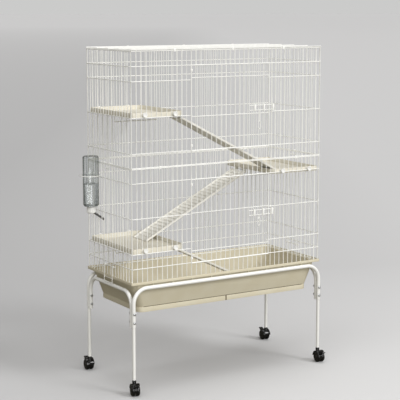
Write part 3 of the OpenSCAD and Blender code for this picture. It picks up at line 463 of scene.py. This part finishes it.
def wireDoor(name, nodeName, upper):
    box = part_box(nodeName)
    edge = wall["doorEdge"] * mm
    outer = upperFront[1][2] if upper else lowerFront[0][2]
    y = box[0][1] + edge / 2
    x0, x1 = box[0][0] + edge / 2, box[1][0] - edge / 2 / hexFlats
    z0, z1 = box[0][2] + edge / 2, box[1][2] - edge / 2
    uprightY = box[1][1] - upright / 2
    crossY = uprightY - crossOut
    made = [wireRow(edge, (x0, y, z0 - edge / 2), (x0, y, z1 + edge / 2), (x1 - x0, 0, 0), 2),
            wireRow(edge, (x0, y, z0), (x1, y, z0), (0, 0, z1 - z0), 2)]
    for row in wall["doorRows"]:
        z = outer - row * mm if upper else outer + row * mm
        made.append(wireRow(cross, (x0, crossY, z), (x1, crossY, z)))
    first = doorX[0] + pitch
    made.append(wireRow(upright, (first, uprightY, z0), (first, uprightY, z1), (pitch, 0, 0),
                        wall["doorLast"] - wall["doorFirst"] - 1))
    finishPiece(joinPieces(made), name, [nodeName])


frontWall("lowerFrontWall", "lower_front_panel", False)
frontWall("upperFrontWall", "upper_front_panel", True)
backGrille("lowerBackWall", "lower_back_panel", False)
backGrille("upperBackWall", "upper_back_panel", True)
sideGrille("lowerLeftWall", "lower_left_panel", False, wallX[0], -1)
sideGrille("upperLeftWall", "upper_left_panel", True, wallX[0], -1)
sideGrille("lowerRightWall", "lower_right_panel", False, wallX[1], 1)
sideGrille("upperRightWall", "upper_right_panel", True, wallX[1], 1)
roofGrille()
wireDoor("upperDoor", "upper_door", True)
wireDoor("lowerDoor", "lower_door", False)
print("wire walls ready")


def editFaces(piece, chosen, *steps):
    # pick faces by place or normal, then run edit-mode operators on them
    selectOnly(piece)
    bpy.ops.object.mode_set(mode="EDIT")
    bpy.ops.mesh.select_mode(type="FACE")
    bpy.ops.mesh.select_all(action="DESELECT")
    bpy.ops.object.mode_set(mode="OBJECT")
    for face in piece.data.polygons:
        face.select = chosen(face)
    bpy.ops.object.mode_set(mode="EDIT")
    for operator, settings in steps:
        operator(**settings)
    bpy.ops.object.mode_set(mode="OBJECT")


def placedCopy(model, matrix):
    piece = model.copy()
    piece.data = model.data.copy()
    piece.data.transform(matrix)
    bpy.context.collection.objects.link(piece)
    return piece


# below counts from the platform's top; columns are gaps between uprights, from its side wall
knob = {"diameter": 19, "grip": 7, "flutes": 12, "fluteInset": 0.45, "fluteDepth": 0.55, "dishInset": 2.6,
        "dishSlope": 0.8, "dishDepth": 0.9, "edge": 0.5, "shank": 5, "shankInGrip": 1, "clearOfWires": 0.4,
        "clearOfRim": 0.7, "below": 8, "columns": [2, 8]}


def gripKnob():
    # round grip with a flute in every third side and a dished face towards -Y
    sides = knob["flutes"] * 3
    bpy.ops.object.select_all(action="DESELECT")
    bpy.ops.mesh.primitive_cylinder_add(vertices=sides, radius=knob["diameter"] / 2 * mm,
                                        depth=knob["grip"] * mm)
    grip = bpy.context.object
    grip.data.transform(Matrix.Rotation(math.radians(90), 4, "X"))

    def inFlute(face):
        turn = math.degrees(math.atan2(face.center.z, face.center.x)) % 360
        return abs(face.normal.y) < 0.5 and int(turn / 360 * sides) % 3 == 0

    editFaces(grip, lambda face: face.normal.y < -0.9,
              (bpy.ops.mesh.inset, {"thickness": knob["dishInset"] * mm, "depth": 0}),
              (bpy.ops.mesh.inset, {"thickness": knob["dishSlope"] * mm, "depth": -knob["dishDepth"] * mm}))
    editFaces(grip, inFlute, (bpy.ops.mesh.inset, {
        "thickness": knob["fluteInset"] * mm, "depth": -knob["fluteDepth"] * mm, "use_individual": True}))
    softenEdges(grip, knob["edge"])
    return grip


def platformKnobs():
    rimY = wallY[0] + upright / 2 + knob["clearOfRim"] * mm
    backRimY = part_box("platform_right")[1][1]
    face = crossOut + cross / 2 + knob["clearOfWires"] * mm
    halfGrip, shankIn = knob["grip"] / 2 * mm, knob["shankInGrip"] * mm
    front, back = wallY[0] - face, wallY[1] + face
    model = gripKnob()
    turned = Matrix.Rotation(math.radians(180), 4, "Z")
    made = []
    for nodeName in ("platform_upper_left", "platform_right", "platform_lower_left"):
        fromRight = nodeName == "platform_right"
        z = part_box(nodeName)[1][2] - knob["below"] * mm
        for column in knob["columns"]:
            x = wallX[1] - (column + 0.5) * pitch if fromRight else wallX[0] + (column + 0.5) * pitch
            made.append(placedCopy(model, Matrix.Translation((x, front - halfGrip, z))))
            made.append(placedCopy(model, Matrix.Translation((x, back + halfGrip, z)) @ turned))
            made.append(roundWire(knob["shank"] * mm, (x, front - shankIn, z), (x, rimY, z)))
            made.append(roundWire(knob["shank"] * mm, (x, back + shankIn, z), (x, backRimY, z)))
    bpy.data.objects.remove(model)
    finishPiece(joinPieces(made), "platformKnobs", ["platform_knobs"])


# level counts from the floor, aboveNeck from the bottle's lower end
water = {"level": 812, "clearOfWall": 1.56, "aboveNeck": 13.6, "creepWidth": 2.4, "creepHeight": 0.7,
         "shoulderRound": 8, "sides": 96}


def bottleWater():
    # the water stands in the lower part of the bottle, down to its neck
    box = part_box("bottle_body")
    centre = ((box[0][0] + box[1][0]) / 2, (box[0][1] + box[1][1]) / 2)
    radius = (box[1][0] - box[0][0]) / 2 - water["clearOfWall"] * mm
    low = box[0][2] + water["aboveNeck"] * mm
    high = water["level"] * mm
    bpy.ops.object.select_all(action="DESELECT")
    bpy.ops.mesh.primitive_cylinder_add(vertices=water["sides"], radius=radius, depth=high - low,
                                        location=(*centre, (low + high) / 2))
    body = bpy.context.object
    selectOnly(body)
    bpy.ops.object.transform_apply(location=True, rotation=True, scale=True)
    # the surface creeps up at the wall, and the lower edge follows the bottle's shoulder
    editFaces(body, lambda face: face.normal.z > 0.9, (bpy.ops.mesh.inset, {
        "thickness": water["creepWidth"] * mm, "depth": -water["creepHeight"] * mm}))
    editFaces(body, lambda face: face.normal.z < -0.9, (bpy.ops.mesh.bevel, {
        "offset": water["shoulderRound"] * mm, "segments": 3, "affect": "EDGES", "clamp_overlap": True}))
    finishPiece(body, "bottleWater", [], body="cage", slot="bottle_clear", material=waterClear)


# above is where the ridges start, over the cap's lower end
capRidges = {"count": 36, "radius": 17.5, "width": 1.1, "height": 9, "out": 0.45, "above": 4.5,
             "edge": 0.3, "capEdge": 0.4}


def ridgedCap():
    # screw cap with fine upright ridges round its skirt
    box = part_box("bottle_cap")
    centre = Vector(((box[0][0] + box[1][0]) / 2, (box[0][1] + box[1][1]) / 2, 0))
    cap = nodeCopy("bottle_cap")
    softenEdges(cap, capRidges["capEdge"])
    bpy.ops.object.select_all(action="DESELECT")
    bpy.ops.mesh.primitive_cube_add(size=1)
    ridge = bpy.context.object
    ridge.data.transform(Matrix.Diagonal((2 * capRidges["out"] * mm, capRidges["width"] * mm,
                                          capRidges["height"] * mm, 1)))
    softenEdges(ridge, capRidges["edge"], segments=1)
    ridgeZ = box[0][2] + (capRidges["above"] + capRidges["height"] / 2) * mm
    lift = Matrix.Translation((capRidges["radius"] * mm, 0, ridgeZ))
    made = [cap]
    for k in range(capRidges["count"]):
        turn = Matrix.Rotation(2 * math.pi * k / capRidges["count"], 4, "Z")
        made.append(placedCopy(ridge, Matrix.Translation(centre) @ turn @ lift))
    bpy.data.objects.remove(ridge)
    finishPiece(joinPieces(made), "bottleCap", ["bottle_cap"])


platformKnobs()
bottleWater()
ridgedCap()
print("knobs, water and cap ready")


# how wide a piece's sharp edges are rounded; pieces that aren't named keep theirs
edgeMm = {"tray": 0.9, "platform_upper_left": 1.1, "platform_right": 1.1, "platform_lower_left": 1.1,
          "ramp_upper": 0.7, "ramp_middle": 0.7, "ramp_lower": 0.7, "ramp_rods": 0.5,
          "upper_latch_guides": 0.4, "lower_latch_guides": 0.4, "latch_catches": 0.4, "panel_clips": 0.3,
          "upper_door_hinges": 0.3, "lower_door_hinges": 0.3, "frame_bolts": 0.4, "frame_nuts": 0.4,
          "tube_end_caps": 0.8, "leg_plugs": 0.4, "caster_stems": 0.5, "tray_clip_pivots": 0.4,
          "bottle_spout": 0.3}
for corner in ("front_left", "front_right", "back_left", "back_right"):
    edgeMm["caster_fork_" + corner] = 0.7
    edgeMm["caster_brake_" + corner] = 0.5
madeAbove = [nodeName for nodeName in nodes if nodeName.endswith("_panel")]
madeAbove += ["upper_door", "lower_door", "platform_knobs", "bottle_cap"]
for nodeName in sorted(nodes):
    if nodeName in madeAbove:
        continue
    piece = nodeCopy(nodeName)
    if nodeName in edgeMm:
        softenEdges(piece, edgeMm[nodeName])
    finishPiece(piece, nodeName + "_piece", [nodeName])
print("worked pieces ready")


# places and sizes in metres; floorBounce is the paint that bounced light meets; the floor's left colour is
# painted shade that darkens it towards the left, and the pool colour is a painted pool of light at the right
# front
studio = {"floorShadedLeft": "#AFAFB0", "floorRight": "#C9C9CA", "leftAt": (-1.6, 0.97, 0), "acrossM": 3.4,
          "floorLitPool": "#E9E9EA", "poolAt": (0.9, -2.2, 0), "poolRadius": 3.6, "floorFar": "#C6C6C7",
          "farRadius": 100.0, "floorBounce": "#7A766B", "floorSize": 600.0, "floorRoughness": 0.9,
          "backdrop": "#CBCBCA", "ambient": 0.26, "ambientColour": "#FFFBF3"}
cameraPlace = {"fromCorner": (-2.2030, -4.0964, 1.5105), "yaw": 31.52, "pitch": 7.84, "lens": 109.4,
               "shiftY": -0.06, "sensor": 36, "near": 0.05, "far": 1000}
# each lamp is a soft sun that stands towards this direction
lamps = {"key": {"towards": (0.4, -0.7, 0.55), "spreadDeg": 18, "strength": 1.41},
         "front": {"towards": (-0.25, -1.0, 0.3), "spreadDeg": 40, "strength": 1.54},
         "overhead": {"towards": (0.1, 0.0, 1.0), "spreadDeg": 36, "strength": 0.9},
         "left": {"towards": (-0.6, -0.25, 0.8), "spreadDeg": 40, "strength": 0.52}}


def seenDirectly(tree):
    # 1 for what the eye sees, also through clear plastic, 0 for light that bounces or is mirrored
    rays = addNode(tree, "ShaderNodeLightPath")
    through = addNode(tree, "ShaderNodeMath", [("operation", "MAXIMUM")], links=[
        (0, rays.outputs["Is Camera Ray"]), (1, rays.outputs["Is Transmission Ray"])])
    return through.outputs[0]


def fadeFrom(tree, kind, middle, size, turn=(0, 0, 0)):
    # from 0 to 1 along X when linear, and from 1 in the middle down to 0 when spherical
    mapping = addNode(tree, "ShaderNodeMapping", [("vector_type", "TEXTURE")], inputs=[
        ("Location", middle), ("Rotation", turn), ("Scale", (size,) * 3)],
        links=[("Vector", addNode(tree, "ShaderNodeTexCoord").outputs["Object"])])
    return addNode(tree, "ShaderNodeTexGradient", [("gradient_type", kind)],
                   links=[("Vector", mapping.outputs["Vector"])]).outputs["Fac"]


def makeFloor():
    bpy.ops.mesh.primitive_plane_add(size=studio["floorSize"], location=(0, 0, 0))
    floor = bpy.context.object
    floor.name = "floor"
    material, tree, shader = startMaterial("studioFloor", [
        ("Roughness", studio["floorRoughness"]), ("Specular IOR Level", 0.0)])
    turn = (0, 0, math.radians(-cameraPlace["yaw"]))
    rgba = [("data_type", "RGBA")]
    # painted shade: the floor darkens from right to left
    across = addNode(tree, "ShaderNodeMix", rgba, [
        (mixFirst, linear(studio["floorShadedLeft"])), (mixSecond, linear(studio["floorRight"]))],
        [("Factor", fadeFrom(tree, "LINEAR", studio["leftAt"], studio["acrossM"], turn))])
    # painted light: a pool of light on the floor at the right front
    lit = addNode(tree, "ShaderNodeMix", rgba, [(mixSecond, linear(studio["floorLitPool"]))], [
        ("Factor", fadeFrom(tree, "SPHERICAL", studio["poolAt"], studio["poolRadius"])),
        (mixFirst, across.outputs[mixedOut])])
    seen = addNode(tree, "ShaderNodeMix", rgba, [(mixFirst, linear(studio["floorFar"]))], [
        ("Factor", fadeFrom(tree, "SPHERICAL", (0, 0, 0), studio["farRadius"])),
        (mixSecond, lit.outputs[mixedOut])])
    paint = addNode(tree, "ShaderNodeMix", rgba, [(mixFirst, linear(studio["floorBounce"]))], [
        ("Factor", seenDirectly(tree)), (mixSecond, seen.outputs[mixedOut])])
    tree.links.new(paint.outputs[mixedOut], shader.inputs["Base Color"])
    floor.data.materials.append(material)


def makeWorld():
    world = bpy.data.worlds.new("studio")
    bpy.context.scene.world = world
    world.use_nodes = True
    tree = world.node_tree
    tree.nodes.clear()
    light = addNode(tree, "ShaderNodeBackground", inputs=[
        ("Color", linear(studio["ambientColour"])), ("Strength", studio["ambient"])])
    back = addNode(tree, "ShaderNodeBackground", inputs=[
        ("Color", linear(studio["backdrop"])), ("Strength", 1.0)])
    mix = addNode(tree, "ShaderNodeMixShader", links=[
        (0, seenDirectly(tree)), (1, light.outputs[0]), (2, back.outputs[0])])
    addNode(tree, "ShaderNodeOutputWorld", links=[("Surface", mix.outputs[0])])


def softSun(name, towards, spreadDeg, strength):
    data = bpy.data.lights.new(name, "SUN")
    data.angle = math.radians(spreadDeg)
    data.energy = strength
    lamp = bpy.data.objects.new(name, data)
    bpy.context.collection.objects.link(lamp)
    lamp.rotation_euler = Vector(towards).to_track_quat("Z", "Y").to_euler()


def makeCamera():
    data = bpy.data.cameras.new("camera")
    data.lens = cameraPlace["lens"]
    data.sensor_width = cameraPlace["sensor"]
    data.shift_y = cameraPlace["shiftY"]
    data.clip_start, data.clip_end = cameraPlace["near"], cameraPlace["far"]
    camera = bpy.data.objects.new("camera", data)
    bpy.context.collection.objects.link(camera)
    camera.location = Vector((wallX[0], wallY[0], 0)) + Vector(cameraPlace["fromCorner"])
    camera.rotation_euler = (math.radians(90 - cameraPlace["pitch"]), 0, math.radians(-cameraPlace["yaw"]))
    bpy.context.scene.camera = camera


makeFloor()
makeWorld()
for lampName, lamp in lamps.items():
    softSun(lampName, **lamp)
makeCamera()
bpy.context.scene.view_settings.view_transform = "Standard"
print("studio ready")
